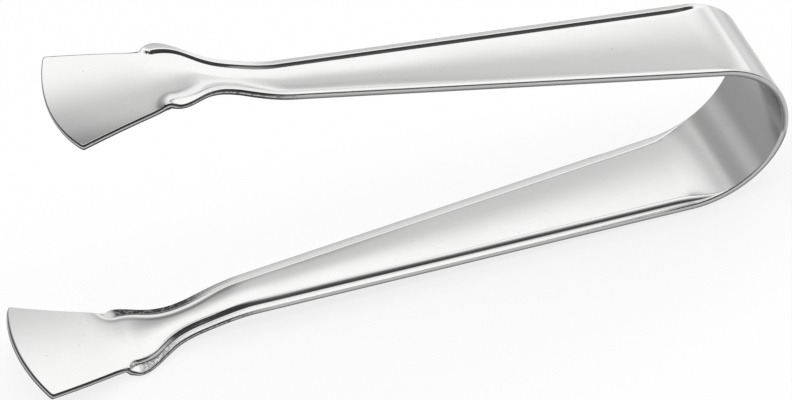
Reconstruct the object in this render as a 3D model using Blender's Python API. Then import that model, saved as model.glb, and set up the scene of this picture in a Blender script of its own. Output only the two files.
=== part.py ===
"""Sugar tongs: one strip of stainless steel bent into a U, with a fan-shaped blade at each end.

The strip is described once, as a path from the crown of the bow out to a blade, and both arms
follow it. A station is a distance along that path: above zero it lies on the upper arm, below
zero on the lower one. Metres, +Z up. The tongs lie on their lower arm, as they do on a table:
+X points along them towards the bow, +Y across the strip, and the origin is under the middle of
their box.
"""
import math

import bmesh
import bpy
import numpy as np

for leftover in list(bpy.data.objects):
    bpy.data.objects.remove(leftover)

MM = 0.001

# The strip and its path, along the middle of its thickness
STRIP_THICKNESS = 0.95 * MM
BOW_RADIUS = 12.65 * MM
BOW_HALF_SWEEP = math.radians(83.4)
ARM_LENGTH = 64.4 * MM
OUTWARD_BEND_RADIUS = 34.0 * MM
OUTWARD_BEND_ANGLE = math.radians(12.5)
NECK_LENGTH = 5.9 * MM
INWARD_BEND_RADIUS = 16.0 * MM
INWARD_BEND_ANGLE = math.radians(21.6)
BLADE_LENGTH = 13.3 * MM
BLADE_BEND_RADIUS = 120.0 * MM

# Widths across the strip, and the shape of the blade's end
CROWN_WIDTH = 16.2 * MM
SHOULDER_WIDTH = 14.4 * MM
NECK_WIDTH = 6.15 * MM
EAR_WIDTH = 12.05 * MM
BLADE_ROOT_WIDTH = 10.6 * MM
BLADE_TIP_WIDTH = 17.0 * MM
BLADE_END_BULGE = 2.0 * MM
BLADE_CORNER_CUT = 0.8 * MM

# Where the width turns, measured from the bends
NECK_PAST_OUTWARD_BEND = 0.8 * MM
EAR_BEFORE_BLADE = 1.1 * MM
NOTCH_PAST_INWARD_BEND = 0.85 * MM
EAR_SWELL = 1.5

# The pressed panel, which makes each arm a shallow tray between two rims
PANEL_DEPTH = 0.4 * MM
PANEL_INTO_BOW = 4.4 * MM
PANEL_RUN_IN = 13.0 * MM
RIM_WIDTH = 0.8 * MM
RIM_START_WIDTH = 0.25 * MM
FLANK_WIDTH = 0.5 * MM
EAR_RIM_WIDTH = 1.35 * MM
EAR_RIM_RISE = 3.5 * MM
NOTCH_RIM_WIDTH = 0.4 * MM

# Where the spring bow flexes, as a share of the way from its crown to an arm, and the gap left there
FLEX_SHARE = 0.5
NODE_GAP = 0.3 * MM

# Fineness of the solids
BOW_ROWS = 24
ARM_CURL_ROWS = 10
PANEL_RUN_IN_ROWS = 5
BEND_ROWS = 6
NECK_ROWS = 4
EAR_ROWS = 12
BLADE_ROWS = 8
BLADE_COLUMNS = 12
CORNER_STEPS = 8

UPPER = 1
LOWER = -1
SHARP_ANGLE = math.radians(35)

# Stations along the path
ARM_START = BOW_RADIUS * BOW_HALF_SWEEP
OUTWARD_BEND_START = ARM_START + ARM_LENGTH
OUTWARD_BEND_END = OUTWARD_BEND_START + OUTWARD_BEND_RADIUS * OUTWARD_BEND_ANGLE
INWARD_BEND_START = OUTWARD_BEND_END + NECK_LENGTH
INWARD_BEND_END = INWARD_BEND_START + INWARD_BEND_RADIUS * INWARD_BEND_ANGLE
BLADE_CORNER = INWARD_BEND_END + BLADE_LENGTH
BLADE_APEX = BLADE_CORNER + BLADE_END_BULGE
NECK = OUTWARD_BEND_END + NECK_PAST_OUTWARD_BEND
EAR = INWARD_BEND_END - EAR_BEFORE_BLADE
NOTCH = INWARD_BEND_END + NOTCH_PAST_INWARD_BEND
FLEX = ARM_START * FLEX_SHARE
PANEL_START = ARM_START - PANEL_INTO_BOW
PANEL_FULL = PANEL_START + PANEL_RUN_IN

# The path as runs of even curvature: (length, curvature towards the other arm)
PATH_RUNS = [
    (ARM_START, 1.0 / BOW_RADIUS),
    (ARM_LENGTH, 0.0),
    (OUTWARD_BEND_END - OUTWARD_BEND_START, -1.0 / OUTWARD_BEND_RADIUS),
    (NECK_LENGTH, 0.0),
    (INWARD_BEND_END - INWARD_BEND_START, 1.0 / INWARD_BEND_RADIUS),
    (BLADE_LENGTH + BLADE_END_BULGE, 1.0 / BLADE_BEND_RADIUS),
]


def smoothstep(x):
    """0 to 1 with level ends."""
    t = min(max(x, 0.0), 1.0)
    return t * t * (3.0 - 2.0 * t)


def mix(a, b, share):
    """a at share 0, b at share 1."""
    return a + (b - a) * share


def spread(start, end, count):
    """Evenly spaced values from start to end, in count steps."""
    return [mix(start, end, i / count) for i in range(count + 1)]


def path(distance):
    """(x, z, turn) of the upper half's middle, from the crown at the origin.

    turn is how far the strip has turned from upright, so its outward normal is
    (cos turn, sin turn) in x and z.
    """
    x = 0.0
    z = 0.0
    turn = 0.0
    left = distance
    for length, curvature in PATH_RUNS:
        step = min(left, length)
        if curvature == 0.0:
            x -= step * math.sin(turn)
            z += step * math.cos(turn)
        else:
            end = turn + curvature * step
            x += (math.cos(end) - math.cos(turn)) / curvature
            z += (math.sin(end) - math.sin(turn)) / curvature
            turn = end
        left -= step
        if left <= 0.0:
            break
    return x, z, turn


def rest_tilt():
    """Turn about Y that lays the bow and the lower arm's inward bend on one level line."""
    x, z, turn = path(INWARD_BEND_START)
    bend_x = x - INWARD_BEND_RADIUS * math.cos(turn)
    bend_drop = z - INWARD_BEND_RADIUS * math.sin(turn)
    along = -BOW_RADIUS - bend_x
    distance = math.hypot(along, bend_drop)
    return math.atan2(bend_drop, along) - math.asin((BOW_RADIUS - INWARD_BEND_RADIUS) / distance)


TILT = rest_tilt()
BOW_CENTRE_X = -BOW_RADIUS * math.cos(TILT)
BOW_CENTRE_Z = BOW_RADIUS * math.sin(TILT)
BOW_OUTER_RADIUS = BOW_RADIUS + STRIP_THICKNESS / 2


def lie_down(station, level):
    """(x, z) of a point at a level off the strip's middle, with the tongs lying at z = 0."""
    side = UPPER if station >= 0.0 else LOWER
    x, z, turn = path(abs(station))
    x += level * math.cos(turn)
    z = side * (z + level * math.sin(turn))
    level_x = x * math.cos(TILT) + z * math.sin(TILT)
    level_z = z * math.cos(TILT) - x * math.sin(TILT)
    return level_x, level_z - BOW_CENTRE_Z + BOW_OUTER_RADIUS


def box_middle():
    """x halfway between the bow's outer face and the further blade's end."""
    blade_ends = []
    for station in (BLADE_APEX, -BLADE_APEX):
        for face in (STRIP_THICKNESS / 2, -STRIP_THICKNESS / 2):
            blade_ends.append(lie_down(station, face - PANEL_DEPTH)[0])
    return (BOW_CENTRE_X + BOW_OUTER_RADIUS + min(blade_ends)) / 2


MIDDLE_X = box_middle()


def place(station, y, level):
    """World position of a point of the strip."""
    x, z = lie_down(station, level)
    return x - MIDDLE_X, y, z


def half_width(distance):
    """Half the strip's width, from the crown to the notch before the blade."""
    if distance <= ARM_START:
        width = mix(CROWN_WIDTH, SHOULDER_WIDTH, distance / ARM_START)
    elif distance <= NECK:
        width = mix(SHOULDER_WIDTH, NECK_WIDTH, (distance - ARM_START) / (NECK - ARM_START))
    elif distance <= EAR:
        swell = ((distance - NECK) / (EAR - NECK)) ** EAR_SWELL
        width = mix(NECK_WIDTH, EAR_WIDTH, smoothstep(swell))
    else:
        width = mix(EAR_WIDTH, BLADE_ROOT_WIDTH, smoothstep((distance - EAR) / (NOTCH - EAR)))
    return width / 2


def rim_width(distance):
    """Width of the flat rim, which is wider at the ears and narrow at both of its ends."""
    if distance <= EAR - EAR_RIM_RISE:
        return mix(RIM_START_WIDTH, RIM_WIDTH, smoothstep((distance - PANEL_START) / PANEL_RUN_IN))
    if distance <= EAR:
        return mix(RIM_WIDTH, EAR_RIM_WIDTH, smoothstep((distance - EAR + EAR_RIM_RISE) / EAR_RIM_RISE))
    return mix(EAR_RIM_WIDTH, NOTCH_RIM_WIDTH, smoothstep((distance - EAR) / (NOTCH - EAR)))


def panel_depth(distance):
    """Depth of the pressed panel below the rims."""
    return PANEL_DEPTH * smoothstep((distance - PANEL_START) / PANEL_RUN_IN)


def bow_row(station):
    """One row across the plain bow: (station, y, level) of the strip's middle."""
    edge = half_width(abs(station))
    return [(station, y, 0.0) for y in (-edge, 0.0, edge)]


def arm_row(station):
    """One row across an arm, over its rims, flanks and panel."""
    distance = abs(station)
    edge = half_width(distance)
    rim = edge - rim_width(distance)
    panel = rim - FLANK_WIDTH
    depth = -panel_depth(distance)
    left = [(station, -edge, 0.0), (station, -rim, 0.0), (station, -panel, depth)]
    right = [(station, -y, level) for _, y, level in reversed(left)]
    return left + [(station, 0.0, depth)] + right


def blade_end(y):
    """Distance of the blade's convex end from the crown, at y across it."""
    half_chord = BLADE_TIP_WIDTH / 2
    radius = (half_chord ** 2 + BLADE_END_BULGE ** 2) / (2 * BLADE_END_BULGE)
    return BLADE_APEX - radius + math.sqrt(radius ** 2 - y ** 2)


def blade_outline():
    """Half of a blade's outline as (distance, y): its side from the root, then its end inwards.

    The two lists meet in the middle of the rounded corner.
    """
    root_y = BLADE_ROOT_WIDTH / 2
    tip_y = BLADE_TIP_WIDTH / 2
    flare = (tip_y - root_y) / (BLADE_CORNER - NOTCH)
    before = (BLADE_CORNER - BLADE_CORNER_CUT, tip_y - BLADE_CORNER_CUT * flare)
    after_y = tip_y - BLADE_CORNER_CUT
    after = (blade_end(after_y), after_y)
    corner = []
    for share in spread(0.0, 1.0, CORNER_STEPS):
        first = (mix(before[0], BLADE_CORNER, share), mix(before[1], tip_y, share))
        second = (mix(BLADE_CORNER, after[0], share), mix(tip_y, after[1], share))
        corner.append((mix(first[0], second[0], share), mix(first[1], second[1], share)))
    half = CORNER_STEPS // 2
    start = NOTCH + NODE_GAP / 2
    side = [(start, root_y + flare * NODE_GAP / 2)] + corner[: half + 1]
    end = corner[half:] + [(blade_end(y), y) for y in spread(after_y, 0.0, BLADE_COLUMNS)[1:]]
    return side, end


def blade_rows(half):
    """Rows across a blade: straight at its root, and bulging more and more towards its end."""
    side, end = blade_outline()
    side_distance, side_y = zip(*side)
    end_distance, end_y = zip(*reversed(end))
    reach = side_distance[-1] - side_distance[0]
    rows = []
    for share in spread(0.0, 1.0, BLADE_ROWS):
        distance = side_distance[0] + share * reach
        width = float(np.interp(distance, side_distance, side_y))
        row = []
        for across in spread(-1.0, 1.0, BLADE_COLUMNS):
            bulge = float(np.interp(abs(across) * end_y[-1], end_y, end_distance)) - side_distance[-1]
            row.append((half * (distance + share * bulge), across * width, -PANEL_DEPTH))
        rows.append(row)
    return rows


def steel():
    """Polished stainless steel."""
    material = bpy.data.materials.new("stainless_steel")
    material.use_nodes = True
    shader = material.node_tree.nodes["Principled BSDF"]
    shader.inputs["Base Color"].default_value = (0.80, 0.80, 0.79, 1.0)
    shader.inputs["Metallic"].default_value = 1.0
    shader.inputs["Roughness"].default_value = 0.12
    return material


def add_node(name, rows, pivot_station, material):
    """A closed solid as thick as the strip over rows of points, with its origin at a flex line."""
    pivot = place(pivot_station, 0.0, 0.0)
    mesh = bmesh.new()

    def layer(offset):
        grid = []
        for row in rows:
            points = [place(station, y, level + offset) for station, y, level in row]
            grid.append([mesh.verts.new([c - p for c, p in zip(point, pivot)]) for point in points])
        return grid

    outer = layer(STRIP_THICKNESS / 2)
    inner = layer(-STRIP_THICKNESS / 2)
    columns = range(len(rows[0]) - 1)
    for i in range(len(rows) - 1):
        for j in columns:
            mesh.faces.new((outer[i][j], outer[i][j + 1], outer[i + 1][j + 1], outer[i + 1][j]))
            mesh.faces.new((inner[i][j], inner[i + 1][j], inner[i + 1][j + 1], inner[i][j + 1]))
        mesh.faces.new((outer[i][0], outer[i + 1][0], inner[i + 1][0], inner[i][0]))
        mesh.faces.new((outer[i][-1], inner[i][-1], inner[i + 1][-1], outer[i + 1][-1]))
    for j in columns:
        mesh.faces.new((outer[0][j], inner[0][j], inner[0][j + 1], outer[0][j + 1]))
        mesh.faces.new((outer[-1][j], outer[-1][j + 1], inner[-1][j + 1], inner[-1][j]))
    bmesh.ops.recalc_face_normals(mesh, faces=mesh.faces)
    data = bpy.data.meshes.new(name)
    mesh.to_mesh(data)
    mesh.free()
    data.shade_smooth()
    data.set_sharp_from_angle(angle=SHARP_ANGLE)
    data.materials.append(material)
    node = bpy.data.objects.new(name, data)
    node.location = pivot
    bpy.context.scene.collection.objects.link(node)


def make_bow(material):
    """The spring bow, from one flex line over the crown to the other."""
    reach = FLEX - NODE_GAP / 2
    rows = [bow_row(station) for station in spread(-reach, reach, BOW_ROWS)]
    add_node("bow", rows, -FLEX, material)


def make_arm(name, side, material):
    """An arm with its pressed panel, from its flex line to the notches past its ears."""
    stops = spread(FLEX + NODE_GAP / 2, ARM_START, ARM_CURL_ROWS)
    stops += spread(ARM_START, PANEL_FULL, PANEL_RUN_IN_ROWS)
    stops += spread(OUTWARD_BEND_START, OUTWARD_BEND_END, BEND_ROWS)
    stops += spread(OUTWARD_BEND_END, INWARD_BEND_START, NECK_ROWS)
    stops += spread(INWARD_BEND_START, NOTCH - NODE_GAP / 2, EAR_ROWS)
    rows = [arm_row(side * distance) for distance in sorted(set(stops))]
    add_node(name, rows, side * FLEX, material)


def make_blade(name, side, material):
    """The thin flat fan at the end of an arm, level with the arm's pressed panel."""
    add_node(name, blade_rows(side), side * FLEX, material)


stainless = steel()
make_bow(stainless)
for prefix, half in (("upper", UPPER), ("lower", LOWER)):
    make_arm(prefix + "_arm", half, stainless)
    make_blade(prefix + "_blade", half, stainless)
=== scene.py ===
import math

import bpy
import numpy as np
from mathutils import Matrix, Vector


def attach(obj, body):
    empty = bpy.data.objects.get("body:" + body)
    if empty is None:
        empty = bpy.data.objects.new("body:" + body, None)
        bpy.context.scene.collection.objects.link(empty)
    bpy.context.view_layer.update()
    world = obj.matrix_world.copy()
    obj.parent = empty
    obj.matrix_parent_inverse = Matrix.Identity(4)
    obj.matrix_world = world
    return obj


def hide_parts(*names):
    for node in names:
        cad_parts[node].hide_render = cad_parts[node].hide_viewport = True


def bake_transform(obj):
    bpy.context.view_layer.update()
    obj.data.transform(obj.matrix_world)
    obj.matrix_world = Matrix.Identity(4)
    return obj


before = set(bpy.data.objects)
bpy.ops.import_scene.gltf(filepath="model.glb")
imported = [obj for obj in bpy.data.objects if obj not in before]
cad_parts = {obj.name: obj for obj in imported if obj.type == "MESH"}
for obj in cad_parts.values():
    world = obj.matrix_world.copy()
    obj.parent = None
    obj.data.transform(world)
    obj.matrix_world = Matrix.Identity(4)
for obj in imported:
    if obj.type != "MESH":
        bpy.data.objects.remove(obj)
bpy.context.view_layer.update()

# The strip. The tongs are one stamped strip of stainless steel, bent into a U at the bow. Both
# halves follow the same path from the crown of the bow to a blade. A station is a distance along
# it, above zero on the upper half and below zero on the lower one. Lengths are in millimetres.
MM = 0.001
THICKNESS = 0.95
BOW_RADIUS = 12.65
ARM_START = BOW_RADIUS * math.radians(83.4)
PATH = [
    (ARM_START, 1 / BOW_RADIUS),
    (64.4, 0.0),
    (34.0 * math.radians(12.5), -1 / 34.0),
    (5.9, 0.0),
    (16.0 * math.radians(21.6), 1 / 16.0),
    (15.3, 1 / 120.0),
]
BENDS = np.cumsum([length for length, _ in PATH])
OUTWARD_BEND_START, NECK_START, INWARD_BEND_START, BLADE_START, BLADE_APEX = BENDS[1:]

# The tongs lie on the bow and on the lower arm's inward bend, which tilts the strip's own axes
TILT = math.radians(8.3426)
TABLE_DROP = BOW_RADIUS + THICKNESS / 2 - BOW_RADIUS * math.sin(TILT)
CROWN_X = 55.3305


def smoothstep(x):
    """0 to 1 with level ends."""
    t = min(max(x, 0.0), 1.0)
    return t * t * (3 - 2 * t)


def mix(a, b, share):
    """a at share 0, b at share 1."""
    return a + (b - a) * share


def path(distance):
    """(x, z, turn) of the upper half's middle; its outward normal is (cos turn, sin turn)."""
    x = z = turn = 0.0
    left = distance
    for length, curvature in PATH:
        step = min(left, length)
        if curvature == 0.0:
            x -= step * math.sin(turn)
            z += step * math.cos(turn)
        else:
            end = turn + curvature * step
            x += (math.cos(end) - math.cos(turn)) / curvature
            z += (math.sin(end) - math.sin(turn)) / curvature
            turn = end
        left -= step
        if left <= 0.0:
            break
    return x, z, turn


def place(station, y, level):
    """World position of a point of the strip, at a level off its middle."""
    side = 1 if station >= 0 else -1
    x, z, turn = path(abs(station))
    x += level * math.cos(turn)
    z = side * (z + level * math.sin(turn))
    world_x = x * math.cos(TILT) + z * math.sin(TILT) + CROWN_X
    world_z = z * math.cos(TILT) - x * math.sin(TILT) + TABLE_DROP
    return np.array([world_x, y, world_z]) * MM


# The plan: widest at the crown, down to the neck, out to the ears, in to the notch at the blade
CROWN_WIDTH = 16.2
SHOULDER_WIDTH = 14.4
NECK_WIDTH = 6.15
EAR_WIDTH = 12.05
BLADE_ROOT_WIDTH = 10.6
NECK = NECK_START + 0.8
EAR = BLADE_START - 1.1
NOTCH = BLADE_START + 0.85
EAR_SWELL = 1.5


def half_width(distance):
    """Half the strip's width, from the crown to the notch before the blade."""
    if distance <= ARM_START:
        width = mix(CROWN_WIDTH, SHOULDER_WIDTH, distance / ARM_START)
    elif distance <= NECK:
        width = mix(SHOULDER_WIDTH, NECK_WIDTH, (distance - ARM_START) / (NECK - ARM_START))
    elif distance <= EAR:
        swell = ((distance - NECK) / (EAR - NECK)) ** EAR_SWELL
        width = mix(NECK_WIDTH, EAR_WIDTH, smoothstep(swell))
    else:
        width = mix(EAR_WIDTH, BLADE_ROOT_WIDTH, smoothstep((distance - EAR) / (NOTCH - EAR)))
    return width / 2


# The pressing: a long panel sunk into each outer face between two rims, and dished a little. It
# stands out of the inner face with softer flanks. It fades out inside the bow and runs on over the
# blade. Each rim ends round at the notch.
PANEL_DEPTH = 0.4
EAR_PANEL_DEPTH = 0.26
INNER_PANEL_SHARE = 1.2
PANEL_START = ARM_START - 4.3
PANEL_RUN_IN = 5.0
FLANK_WIDTH = 0.39
INNER_LEAD = 2.5
NEAR_FLANK_WIDTH = 0.85
NEAR_EAR_FLANK_WIDTH = 0.4
NEAR_FLANK_FALL = 1.2
NEAR_SLOPE_WIDTH = 0.5
FAR_FLANK_WIDTH = 1.2
FAR_FLANK_FALL = 1.5
LEAST_FLANK_SHARE = 0.05
RIM_RISE = 0.05
RIM_SLOPE_WIDTH = 1.0
EAR_RISE = 0.38
EAR_SLOPE_WIDTH = 2.3
EAR_RUN_IN = 8.0
RIM_START_WIDTH = 0.35
INNER_RIM_INSET = 0.15
RIM_RUN_IN = 7.0
RIM_WIDTH = 0.8
EAR_RIM_WIDTH = 1.35
EAR_RIM_RISE = 3.5
RIM_END_GAP = 0.4
RIM_END = NOTCH - EAR_RIM_WIDTH - RIM_END_GAP
DISH_AT = (18.0, 50.0, 78.0, 92.0, 101.0, 106.0)
UPPER_DISH = (0.009, 0.02, 0.05, 0.1, 0.03, 0.018)
LOWER_DISH = (0.009, 0.02, 0.05, 0.12, 0.02, 0.005)
NEAR_RIM_CROWN = 0.2
FAR_RIM_CROWN = 0.08


def rim_width(distance):
    """Width of a rim's top."""
    if distance <= EAR - EAR_RIM_RISE:
        return mix(RIM_START_WIDTH, RIM_WIDTH, smoothstep((distance - PANEL_START) / RIM_RUN_IN))
    return mix(RIM_WIDTH, EAR_RIM_WIDTH, smoothstep((distance - EAR + EAR_RIM_RISE) / EAR_RIM_RISE))


def from_rim(distance, y):
    """How far a point lies inside the rim's inner line, which turns out to the edge at its end."""
    if distance <= RIM_END:
        return half_width(distance) - rim_width(distance) - abs(y)
    reach = half_width(RIM_END)
    return math.hypot(distance - RIM_END, min(abs(y) - reach, 0.0)) - rim_width(RIM_END)


def eased(distance, at, levels):
    """Level at a distance, easing from each of the levels to the next."""
    position = float(np.interp(distance, at, range(len(at))))
    i = min(int(position), len(at) - 2)
    return mix(levels[i], levels[i + 1], smoothstep(position - i))


def left_over(inside, width):
    """1 on the rim, falling to 0 at a width inside it."""
    return min(max(1 - inside / width, 0.0), 1.0)


def crown(station, y):
    """How far each face of a rim falls away, more towards the edge."""
    rise = smoothstep((abs(station) - PANEL_START) / PANEL_RUN_IN)
    curvature = NEAR_RIM_CROWN if y < 0 else FAR_RIM_CROWN
    return rise * curvature * min(from_rim(abs(station), y), 0.0) ** 2 / 2


def relief(station, y, level):
    """Level that the pressing adds to the strip, on its outer face, inner face or middle.

    The flanks are crisp on the outer face and ease off on the inner one. At the ears the rims rise.
    """
    distance = abs(station)
    rise = smoothstep((distance - PANEL_START) / PANEL_RUN_IN)
    ear = smoothstep((distance - NECK + EAR_RUN_IN) / EAR_RUN_IN)
    inside = from_rim(distance, y)
    slope_width = mix(RIM_SLOPE_WIDTH, EAR_SLOPE_WIDTH, ear)
    reach = half_width(distance) - RIM_WIDTH - FLANK_WIDTH
    dish = eased(distance, DISH_AT, UPPER_DISH if station >= 0 else LOWER_DISH)
    depth = mix(PANEL_DEPTH, EAR_PANEL_DEPTH, ear) + dish * (reach * reach - y * y) / 2
    if level >= 0:
        flank = 1 - left_over(inside, FLANK_WIDTH)
    else:
        rise = smoothstep((distance - PANEL_START + INNER_LEAD) / (PANEL_RUN_IN + INNER_LEAD))
        width = FAR_FLANK_WIDTH
        fall = FAR_FLANK_FALL
        if y < 0:
            width = mix(NEAR_FLANK_WIDTH, NEAR_EAR_FLANK_WIDTH, ear)
            fall = NEAR_FLANK_FALL
            slope_width = NEAR_SLOPE_WIDTH
        width *= max(rise, LEAST_FLANK_SHARE)
        flank = INNER_PANEL_SHARE * (1 - left_over(inside + INNER_RIM_INSET, width) ** fall)
    slope = left_over(inside, slope_width)
    raised = mix(RIM_RISE, EAR_RISE, ear) * slope * slope
    return rise * (raised - flank * depth) - np.sign(level) * crown(station, y)


UPPER_TWIST = 0.027
LOWER_TWIST = -0.035
TWIST_START = NECK - 6.0
TWIST_RUN_IN = BLADE_START + 9.0 - NECK


def twist(station, y):
    """Level that a slight twist of each blade adds: both have their far side a little high."""
    turned = smoothstep((abs(station) - TWIST_START) / TWIST_RUN_IN)
    return turned * (UPPER_TWIST if station >= 0 else LOWER_TWIST) * y


def surface(station, y, level=0.0):
    """World position of a point at a level off the pressed strip's middle."""
    return place(station, y, relief(station, y, level) + twist(station, y) + level)


NUDGE = 0.02


def unit(v):
    """v at length 1."""
    return v / np.linalg.norm(v)


def outward(station, y, level=0.0):
    """The outward normal at a level of the strip."""
    along = surface(station + NUDGE, y, level) - surface(station - NUDGE, y, level)
    across = surface(station, y + NUDGE, level) - surface(station, y - NUDGE, level)
    return unit(np.cross(across, along))


# The edges. The press cuts them square, and tumbling breaks their corners and rounds them off.
EDGE_ROUND = 0.19
BREAK_TURN = math.radians(38)
TURNS = [math.radians(a) for a in (5, 22, 40, 58, 75, 90)]
CORNER_AT = (18.0, 30.0, 100.0, 105.0)
INNER_CORNER = (1.0, 0.3, 0.3, 1.0)


def corner(size, first_turn):
    """(reach, level, turn) round the outer face's corner, for a share of the full rounding."""
    drop = EDGE_ROUND * size
    arc = []
    for a in TURNS:
        reach = 1 - size + size * math.sin(a)
        arc.append((reach, THICKNESS / 2 - drop * (1 - math.cos(a)), max(a, first_turn)))
    return arc


def edge_points(station, y, plan_normal):
    """(point, normal, place on the strip) round an edge, from a face's last point at (station, y).

    plan_normal is the outline's outward normal as (along the station, along y).
    """
    up = outward(station, y)
    ahead = plan_normal * NUDGE
    out = surface(station + ahead[0], y + ahead[1]) - surface(station - ahead[0], y - ahead[1])
    out = unit(out - up * (out @ up))
    middle = surface(station, y)
    share = 1 - 2 * crown(station, y) / THICKNESS
    size = eased(abs(station), CORNER_AT, INNER_CORNER)
    arc = corner(1.0, BREAK_TURN)
    inner_arc = corner(size, BREAK_TURN * smoothstep(size))
    arc += [(reach, -level, math.pi - turn) for reach, level, turn in reversed(inner_arc)]
    points = []
    for reach, level, turn in arc:
        point = middle + (out * reach * EDGE_ROUND + up * level * share) * MM
        shift = plan_normal * reach * EDGE_ROUND
        spot = (station + shift[0], y + shift[1], level)
        points.append((point, out * math.sin(turn) + up * math.cos(turn), spot))
    return points


RIM_COLUMNS = 6
FLANK_COLUMNS = 14
PANEL_COLUMNS = 16
LEAST_RIM = 0.05


def face_columns(distance):
    """y of the points over half a face, from the edge's rounding to the middle line."""
    edge = half_width(distance) - EDGE_ROUND
    rim = min(half_width(distance) - rim_width(distance), edge - LEAST_RIM)
    panel = rim - NEAR_FLANK_WIDTH
    ys = list(np.linspace(edge, rim, RIM_COLUMNS, endpoint=False))
    ys += list(np.linspace(rim, panel, FLANK_COLUMNS, endpoint=False))
    return ys + list(np.linspace(panel, 0.0, PANEL_COLUMNS + 1))


def face_points(station, ys, face):
    """Points over the outer face, 1, or the inner one, -1, as edge_points gives them."""
    level = face * THICKNESS / 2
    points = []
    for y in ys:
        normal = face * outward(station, y, level)
        points.append((surface(station, y, level), normal, (station, y, level)))
    return points


def loop(station):
    """Points round the strip at a station, as edge_points gives: outer face, edge, inner, edge."""
    distance = abs(station)
    ys = face_columns(distance)
    ys += [-y for y in reversed(ys[:-1])]
    slope = (half_width(distance + NUDGE) - half_width(distance - NUDGE)) / (2 * NUDGE)
    slope *= 1 if station >= 0 else -1
    near = edge_points(station, ys[-1], unit(np.array([-slope, -1.0])))
    far = edge_points(station, ys[0], unit(np.array([-slope, 1.0])))
    return face_points(station, ys, 1) + near + face_points(station, ys[::-1], -1) + far[::-1]


def spaced(start, end, step):
    """Even stations from start to end, at most step apart."""
    return list(np.linspace(start, end, math.ceil(abs(end - start) / step) + 1))


def add_mesh(name, points, faces, flat_from):
    """An object of such points. The faces from flat_from on are flat end faces."""
    mesh = bpy.data.meshes.new(name)
    mesh.from_pydata([tuple(point) for point, _, _ in points], [], faces)
    mesh.shade_smooth()
    corners = []
    for polygon in mesh.polygons:
        for vertex in polygon.vertices:
            flat = polygon.index >= flat_from
            corners.append(tuple(polygon.normal if flat else points[vertex][1]))
    mesh.normals_split_custom_set(corners)
    spots = np.array([spot for _, _, spot in points])
    strip_place = mesh.attributes.new("strip_place", "FLOAT_VECTOR", "POINT")
    strip_place.data.foreach_set("vector", spots.ravel())
    inside = [from_rim(abs(station), y) for station, y, _ in spots]
    inside_rim = mesh.attributes.new("inside_rim", "FLOAT", "POINT")
    inside_rim.data.foreach_set("value", inside)
    piece = bpy.data.objects.new(name, mesh)
    bpy.context.scene.collection.objects.link(piece)
    return piece


def cap(outer, inner, first, last):
    """Flat faces over a cut end, between the outer face's points and the inner face's.

    first and last are the points round the edges at the two ends, from outer to inner.
    """
    faces = [(outer[j + 1], outer[j], inner[j], inner[j + 1]) for j in range(len(outer) - 1)]
    return faces + [(outer[0], *first, inner[0]), (inner[-1], *last[::-1], outer[-1])]


def strip_piece(name, stations):
    """A closed length of the strip over rising stations."""
    loops = [loop(station) for station in stations]
    count = len(loops[0])
    points = [point for row in loops for point in row]
    faces = []
    for i in range(len(loops) - 1):
        a = i * count
        b = a + count
        for j in range(count):
            k = (j + 1) % count
            faces.append((a + j, b + j, b + k, a + k))
    flat_from = len(faces)
    ring = 2 * len(TURNS)
    half = count // 2
    for i, step in ((0, -1), (len(loops) - 1, 1)):
        row = list(range(i * count, (i + 1) * count))
        outer = row[:half - ring]
        inner = row[half:-ring][::-1]
        end_faces = cap(outer, inner, row[-ring:][::-1], row[half - ring:half])
        faces += [face[::step] for face in end_faces]
    return add_mesh(name, points, faces, flat_from)


# Steel. Polished bright, then handled: hairlines run along the strip and across it, and the finish
# is a little duller here and there.
class Socket:
    """A shader socket that adds, subtracts, multiplies and divides through Math nodes."""

    def __init__(self, tree, link):
        self.tree = tree
        self.link = link

    def node(self, kind, settings=None, output=0, **values):
        """A new node's output, by number or name. A value _0 goes to its first socket, and so on."""
        made = self.tree.nodes.new(kind)
        for key, value in (settings or {}).items():
            setattr(made, key, value)
        for key, value in values.items():
            socket = made.inputs[int(key[1:]) if key[1:].isdigit() else key.replace("_", " ")]
            if isinstance(value, Socket):
                self.tree.links.new(value.link, socket)
            else:
                socket.default_value = value
        return None if output is None else Socket(self.tree, made.outputs[output])

    def math(self, operation, a, b=0.0):
        return self.node("ShaderNodeMath", {"operation": operation}, _0=a, _1=b)

    def __add__(self, other):
        return self.math("ADD", self, other)

    def __sub__(self, other):
        return self.math("SUBTRACT", self, other)

    def __rsub__(self, other):
        return self.math("SUBTRACT", other, self)

    def __mul__(self, other):
        return self.math("MULTIPLY", self, other)

    def __truediv__(self, other):
        return self.math("DIVIDE", self, other)

    __radd__ = __add__
    __rmul__ = __mul__


def fade(value, low, high):
    """0 where value is at low, 1 where it is at high, with level ends."""
    settings = {"interpolation_type": "SMOOTHSTEP"}
    return value.node("ShaderNodeMapRange", settings, Value=value, From_Min=low, From_Max=high)


def noise(value, scale, detail=2.0):
    """A noise texture's value, 0 to 1, over a vector."""
    return value.node("ShaderNodeTexNoise", Vector=value, Scale=scale, Detail=detail)


def blend(share, colour_a, colour_b):
    """Colour a at share 0, colour b at share 1."""
    settings = {"data_type": "RGBA"}
    return share.node("ShaderNodeMix", settings, output=2, _0=share, _6=colour_a, _7=colour_b)


STEEL = (0.652, 0.65, 0.646, 1)
DULL_STEEL = (0.6, 0.598, 0.594, 1)
# The darker greys below stand for shade painted into the colour: on the bow, in the necks' recesses
# and along the edges.
SHADED_BOW_STEEL = (0.3, 0.298, 0.296, 1)
SHADED_INSIDE_STEEL = (0.29, 0.286, 0.287, 1)
CUT_STEEL = (0.52, 0.518, 0.515, 1)
PIT_AND_SHADE_STEEL = (0.18, 0.178, 0.177, 1)
PAINTED_SHADE_STEEL = (0.045, 0.045, 0.045, 1)
MOTTLED_SHADE_STEEL = (0.3, 0.3, 0.3, 1)
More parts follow.
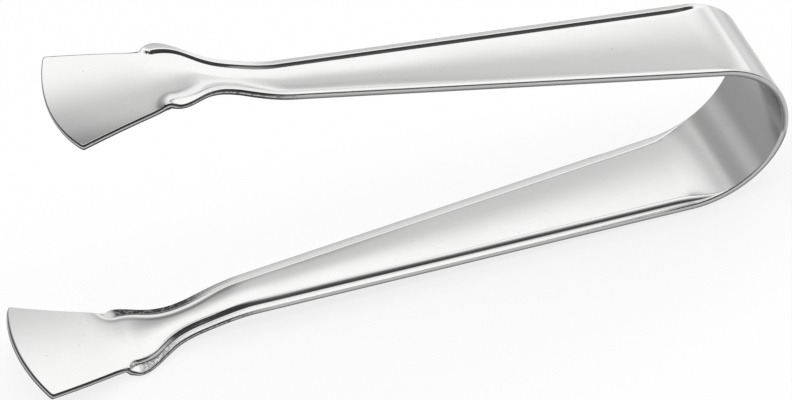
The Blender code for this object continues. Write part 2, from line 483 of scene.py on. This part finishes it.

# Distances from the crown over which a finish or a painted shade comes or goes, and levels where a
# face begins
FACE_LEVELS = (0.2, 0.45)
OUTER_BOW_FADE = (10.2, 13.2)
INNER_BOW_FADE = (6.0, 13.0)
NEAR_RECESS_START = 92.0
FAR_RECESS_LEAD = 6.0
RECESS_RUN_IN = 6.0
RECESS_END = (100.5, 101.5)
EDGE_SHADE_START = (80.0, 88.0)
MOTTLED_EDGE_END = (101.0, 104.0)

steel = bpy.data.materials.new("stainless_steel")
steel.use_nodes = True
shader = steel.node_tree.nodes["Principled BSDF"]
start = Socket(steel.node_tree, None)
spot = start.node("ShaderNodeAttribute", {"attribute_name": "strip_place"}, output="Vector")
inside_rim = start.node("ShaderNodeAttribute", {"attribute_name": "inside_rim"}, output="Fac")
station, across, level = (start.node("ShaderNodeSeparateXYZ", output=axis, _0=spot) for axis in "XYZ")
distance = station.math("ABSOLUTE", station)
depth = level.math("ABSOLUTE", level)
inner_face = fade(level, -FACE_LEVELS[0], -FACE_LEVELS[1])
outer_face = fade(level, *FACE_LEVELS)

# Hairlines from the buffing run along the strip, finer scratches from use run across it
lines = start.node("ShaderNodeCombineXYZ", X=station * 0.12, Y=across * 7.0, Z=level * 7.0)
hairlines = noise(lines, 1.0, 3.0)
slanted = across * 0.35 - station * 0.16
lines = start.node("ShaderNodeCombineXYZ", X=station * 5.0 + across * 2.2, Y=slanted)
scratches = fade(noise(lines, 1.0), 0.66, 0.74)
clouds = noise(spot, 0.22)
pits = fade(noise(spot, 2.6, 1.0), 0.76, 0.8)
mottle = fade(noise(spot, 2.2, 3.0), 0.45, 0.65)

colour = blend(0.35 * clouds + 0.45 * hairlines + 0.3 * scratches, STEEL, DULL_STEEL)
# The bow's outer face near the crown is painted darker: painted shade.
colour = blend(outer_face * (1 - fade(distance, *OUTER_BOW_FADE)), colour, SHADED_BOW_STEEL)
# The inside of the bow is painted darker as shade, and its finish is a little rougher too.
shaded_inside_bow = inner_face * (1 - fade(distance, *INNER_BOW_FADE))
colour = blend(shaded_inside_bow, colour, SHADED_INSIDE_STEEL)
colour = blend(0.5 * pits, colour, PIT_AND_SHADE_STEEL)

# The rims' inner faces at the necks are painted dark and mottled as shade in the recess, darkest on
# the far side, and are a little rougher too
shaded_recess = inner_face * (1 - fade(inside_rim, -0.1, 0.15))
far_side = fade(across, -1.0, 1.0)
recess_start = NEAR_RECESS_START - FAR_RECESS_LEAD * far_side
shaded_recess = shaded_recess * fade(distance, recess_start, recess_start + RECESS_RUN_IN)
shaded_recess = shaded_recess * (1 - fade(distance, *RECESS_END))
mottled_shade = blend(mottle, MOTTLED_SHADE_STEEL, STEEL)
mottled_shade = blend(far_side, mottled_shade, blend(0.25 * mottle, PAINTED_SHADE_STEEL, STEEL))
colour = blend(shaded_recess, colour, mottled_shade)

# A cut edge is painted greyer than the faces, partly a duller finish and partly shade, and darker
# still along its lower side as painted shade. From the necks on both its corners are painted dark as
# shade, and at the necks its middle is mottled dark too.
cut = 1 - fade(depth, THICKNESS / 2 - EDGE_ROUND * 0.3, THICKNESS / 2 - EDGE_ROUND * 0.05)
edge_shade_past_necks = fade(distance, *EDGE_SHADE_START)
below = level * (1 - 2 * fade(station, -1.0, 1.0)) + 0.1 * hairlines
edge_shade = mix(fade(below, -0.1, 0.35), fade(depth + 0.12 * hairlines, 0.1, 0.24), edge_shade_past_necks)
mottled_middle = 0.8 * edge_shade_past_necks * mottle * (1 - fade(distance, *MOTTLED_EDGE_END))
middle = blend(mottled_middle, CUT_STEEL, PAINTED_SHADE_STEEL)
colour = blend(cut, colour, blend(edge_shade, middle, blend(edge_shade_past_necks, PIT_AND_SHADE_STEEL, PAINTED_SHADE_STEEL)))
steel.node_tree.links.new(colour.link, shader.inputs["Base Color"])

roughness = 0.09 + 0.05 * clouds + 0.04 * hairlines + 0.06 * scratches + 0.05 * shaded_inside_bow
roughness = roughness + 0.16 * cut + 0.25 * shaded_recess
steel.node_tree.links.new(roughness.link, shader.inputs["Roughness"])
height = 0.4 * hairlines + 0.3 * scratches - pits
bump = start.node("ShaderNodeBump", Strength=0.06, Distance=0.00002, Height=height)
steel.node_tree.links.new(bump.link, shader.inputs["Normal"])
shader.inputs["Metallic"].default_value = 1

# The bow. The middle of the stainless strip, left plain when the arms were pressed and bent round
# a former.
CROWN_POINT = place(0.0, 0.0, 0.0)
BOW_STEP = 0.45
half_arc = spaced(0.0, ARM_START, BOW_STEP)
for half, side in (("upper", 1), ("lower", -1)):
    stations = sorted(side * distance for distance in half_arc)
    bow = strip_piece(half + "_half_of_bow", stations)
    bow.data.materials.append(steel)
    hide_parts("bow")
    place(side * ARM_START, 0.0, 0.0)
    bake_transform(bow)

# The arms. Two tapering lengths of the same stainless strip. The press sinks the long panel into
# each and bends the neck outwards and back, and the rims end past it in a pair of ears.
RIM_START_STEP = 0.5
STRAIGHT_STEP = 2.0
NECK_STEP = 0.4
EAR_STEP = 0.16
arm_stations = spaced(ARM_START, PANEL_START + RIM_RUN_IN, RIM_START_STEP)[:-1]
arm_stations += spaced(PANEL_START + RIM_RUN_IN, OUTWARD_BEND_START, STRAIGHT_STEP)[:-1]
arm_stations += spaced(OUTWARD_BEND_START, INWARD_BEND_START, NECK_STEP)[:-1]
arm_stations += spaced(INWARD_BEND_START, NOTCH, EAR_STEP)
for half, side in (("upper", 1), ("lower", -1)):
    arm = strip_piece(half + "_arm_strip", sorted(side * distance for distance in arm_stations))
    arm.data.materials.append(steel)
    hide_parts(half + "_arm")
    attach(arm, half + "_arm")

# The blades. Each end of the stainless strip widens into a thin fan with a convex end. It is
# stamped with the rest, turned a little inwards, and its corners are softened by tumbling.
BLADE_TIP_WIDTH = 17.0
BLADE_BULGE = 2.0
BLADE_CORNER = BLADE_APEX - BLADE_BULGE
CORNER_CUT = 0.35
CORNER_STEPS = 10
BLADE_ROWS = 60
END_POINTS = 30
UPPER_SKEW = 0.05
LOWER_SKEW = -0.02


def blade_end(y):
    """Distance of the blade's convex end from the crown, at y across it."""
    chord = BLADE_TIP_WIDTH / 2
    radius = (chord**2 + BLADE_BULGE**2) / (2 * BLADE_BULGE)
    return BLADE_APEX - radius + math.sqrt(radius**2 - y**2)


def blade_outline():
    """The upper half of the outline, from the root to the end's middle, with its normals."""
    root = np.array([NOTCH, BLADE_ROOT_WIDTH / 2])
    tip = np.array([BLADE_CORNER, BLADE_TIP_WIDTH / 2])
    before = tip - unit(tip - root) * CORNER_CUT
    after_y = tip[1] - CORNER_CUT
    after = np.array([blade_end(after_y), after_y])
    outline = [mix(root, before, share) for share in np.linspace(0, 1, BLADE_ROWS, endpoint=False)]
    for share in np.linspace(0, 1, CORNER_STEPS + 1):
        outline.append(mix(mix(before, tip, share), mix(tip, after, share), share))
    outline += [np.array([blade_end(y), y]) for y in np.linspace(after_y, 0.0, END_POINTS)[1:]]
    outline = np.array(outline)
    tangent = np.gradient(outline, axis=0)
    normals = np.array([unit(np.array([-t[1], t[0]])) for t in tangent])
    normals[0] = (0.0, 1.0)
    normals[-1] = (1.0, 0.0)
    return outline, normals


def blade_piece(name, side, skew):
    """A blade: a grid over each face, and rings round the rounded edge between them."""
    outline, normals = blade_outline()
    inset = outline - normals * EDGE_ROUND
    last_row = BLADE_ROWS + CORNER_STEPS // 2
    end_s = inset[last_row:, 0][::-1]
    end_y = inset[last_row:, 1][::-1]
    end_normals = normals[last_row:][::-1]
    root_ys = face_columns(NOTCH)
    shares = [y / root_ys[0] for y in root_ys]
    shares += [-share for share in reversed(shares[:-1])]
    rows = []
    for i in range(last_row + 1):
        row = []
        for share in shares:
            bulge = float(np.interp(abs(share) * end_y[-1], end_y, end_s)) - inset[last_row][0]
            y = share * inset[i][1]
            row.append((inset[i][0] + i / last_row * (bulge - skew * y), y))
        rows.append(row)
    count = len(shares)
    border = [(i, 0, normals[i]) for i in range(last_row + 1)]
    for j in range(1, count - 1):
        y = rows[-1][j][1]
        normal = [float(np.interp(abs(y), end_y, end_normals[:, axis])) for axis in (0, 1)]
        border.append((last_row, j, unit(np.array([normal[0], math.copysign(normal[1], y)]))))
    border += [(i, count - 1, normals[i] * (1, -1)) for i in reversed(range(last_row + 1))]
    points = []
    for face in (1, -1):
        for row in rows:
            for s, y in row:
                points += face_points(side * s, [y], face)
    inner_from = len(rows) * count
    faces = []
    for i in range(last_row):
        for j in range(count - 1):
            a = i * count + j
            b = a + count
            faces.append((a, a + 1, b + 1, b))
            faces.append((inner_from + a, inner_from + b, inner_from + b + 1, inner_from + a + 1))
    rings = []
    for i, j, normal in border:
        s, y = rows[i][j]
        ring = list(range(len(points), len(points) + 2 * len(TURNS)))
        points += edge_points(side * s, y, normal * (side, 1))
        rings.append([i * count + j] + ring + [inner_from + i * count + j])
    for first, second in zip(rings, rings[1:]):
        for a, b, c, d in zip(first, second, second[1:], first[1:]):
            faces.append((a, b, c, d))
    flat_from = len(faces)
    inner_root = list(range(inner_from, inner_from + count))
    faces += cap(list(range(count)), inner_root, rings[0][1:-1], rings[-1][1:-1])
    if side > 0:
        faces = [face[::-1] for face in faces]
    return add_mesh(name, points, faces, flat_from)


for half, side, skew in (("upper", 1, UPPER_SKEW), ("lower", -1, LOWER_SKEW)):
    blade = blade_piece(half + "_fan_blade", side, skew)
    blade.data.materials.append(steel)
    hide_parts(half + "_blade")
    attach(blade, half + "_arm")

# The floor. White paper, lit as the tongs are: what the camera and the metal see of it is lifted
# to white, and the rest of it takes the shadow. It lies just under the lower ears' raised rims.
FLOOR_REACH = 3.0
FLOOR_DROP = 0.52 * MM
PAPER_SHARE = 0.3
PAPER_GLOW = 1.08
PAPER = (0.85, 0.85, 0.85, 1)
corners = []
for x, y in ((-1, -1), (1, -1), (1, 1), (-1, 1)):
    corners.append((x * FLOOR_REACH, y * FLOOR_REACH, -FLOOR_DROP))
floor_mesh = bpy.data.meshes.new("floor")
floor_mesh.from_pydata(corners, [], [(0, 1, 2, 3)])
floor = bpy.data.objects.new("floor", floor_mesh)
bpy.context.scene.collection.objects.link(floor)
paper = bpy.data.materials.new("white_paper")
paper.use_nodes = True
tree = paper.node_tree
tree.nodes.clear()
start = Socket(tree, None)
rays = ("Is Camera Ray", "Is Glossy Ray", "Is Transmission Ray")
seen = sum(start.node("ShaderNodeLightPath", output=ray) for ray in rays)
matt = start.node("ShaderNodeBsdfDiffuse", Color=PAPER)
white = start.node("ShaderNodeEmission", Strength=PAPER_GLOW)
look = start.node("ShaderNodeMixShader", _0=(1 - PAPER_SHARE) * seen, _1=matt, _2=white)
start.node("ShaderNodeOutputMaterial", output=None, Surface=look)
floor_mesh.materials.append(paper)

# The studio. One large soft box hangs overhead, its light falling off towards its far side. A
# white wall stands far right and a grey one far left. Behind the camera the room is dark above a
# grey wall with a dark doorway in it.
HORIZON = 0.04
LEAST_SPREAD = 0.0001
FAR_WAY_X = 0.451
FAR_WAY_Y = 0.892
SOFT_BOX_GLOW = 1.5
MIDDLE_FALL = 0.6
FAR_FALL = 0.37
FAR_EDGE_LIFT = 0.7
HAZE_DIM = 0.25
WALL_GLOW = 0.95
RIGHT_WALL_LIFT = 0.42
ROOM_GLOW = 0.06
GREY_WALL_LIFT = 0.44
world = bpy.data.worlds.new("studio")
bpy.context.scene.world = world
world.use_nodes = True
tree = world.node_tree
tree.nodes.clear()
start = Socket(tree, None)
way = start.node("ShaderNodeTexCoord", output="Generated")
x, y, z = (start.node("ShaderNodeSeparateXYZ", output=axis, _0=way) for axis in "XYZ")
rise = z.math("MAXIMUM", z, HORIZON)
spread = x.math("SQRT", x * x + y * y + LEAST_SPREAD)
far_over = (FAR_WAY_Y * y - FAR_WAY_X * x) / rise
soft_box = SOFT_BOX_GLOW - MIDDLE_FALL * fade(far_over, 0.36, 0.72)
soft_box = soft_box - FAR_FALL * fade(far_over, 0.82, 1.17)
soft_box = soft_box + FAR_EDGE_LIFT * fade(far_over, 1.2, 2.6)
soft_box = soft_box - HAZE_DIM * fade(0.79 * y + 0.61 * z, 0.95, 0.99)
right = fade((0.9 * x + 0.43 * y) / spread, -0.35, 0.45)
wall = WALL_GLOW + RIGHT_WALL_LIFT * right
ahead = mix(wall, soft_box, fade(z / spread, 0.05 + 0.1 * right, 0.25 + 0.25 * right))
side = x / spread
doorway = fade(side, -0.2, -0.05) - fade(side, 0.5, 0.65)
behind = ROOM_GLOW + GREY_WALL_LIFT * fade(y / rise, -1.6, -2.6) * (1 - doorway)
glow = mix(ahead, behind, fade(y / rise, -0.33, -0.66))
light = start.node("ShaderNodeBackground", Color=(1, 1, 1, 1), Strength=glow)
start.node("ShaderNodeOutputWorld", output=None, Surface=light)

# The camera. It stands where the photographer's did, above and in front of the tongs, and looks
# down at them through a long lens.
CAMERA_PLACE = Vector((-210.679, -488.816, 573.587)) * MM
FORWARD = Vector((0.27234207, 0.63187404, -0.72564798))
RIGHT = Vector((0.92003481, -0.39181502, 0.00411556))
SENSOR_WIDTH = 36
LENS = 256.14
NEAREST_SEEN = 0.01
camera = bpy.data.objects.new("camera", bpy.data.cameras.new("camera"))
bpy.context.scene.collection.objects.link(camera)
turn = Matrix((RIGHT, RIGHT.cross(FORWARD), -FORWARD)).transposed()
camera.matrix_world = Matrix.Translation(CAMERA_PLACE) @ turn.to_4x4()
camera.data.sensor_width = SENSOR_WIDTH
camera.data.lens = LENS
camera.data.clip_start = NEAREST_SEEN
bpy.context.scene.camera = camera
bpy.context.scene.view_settings.view_transform = "Standard"
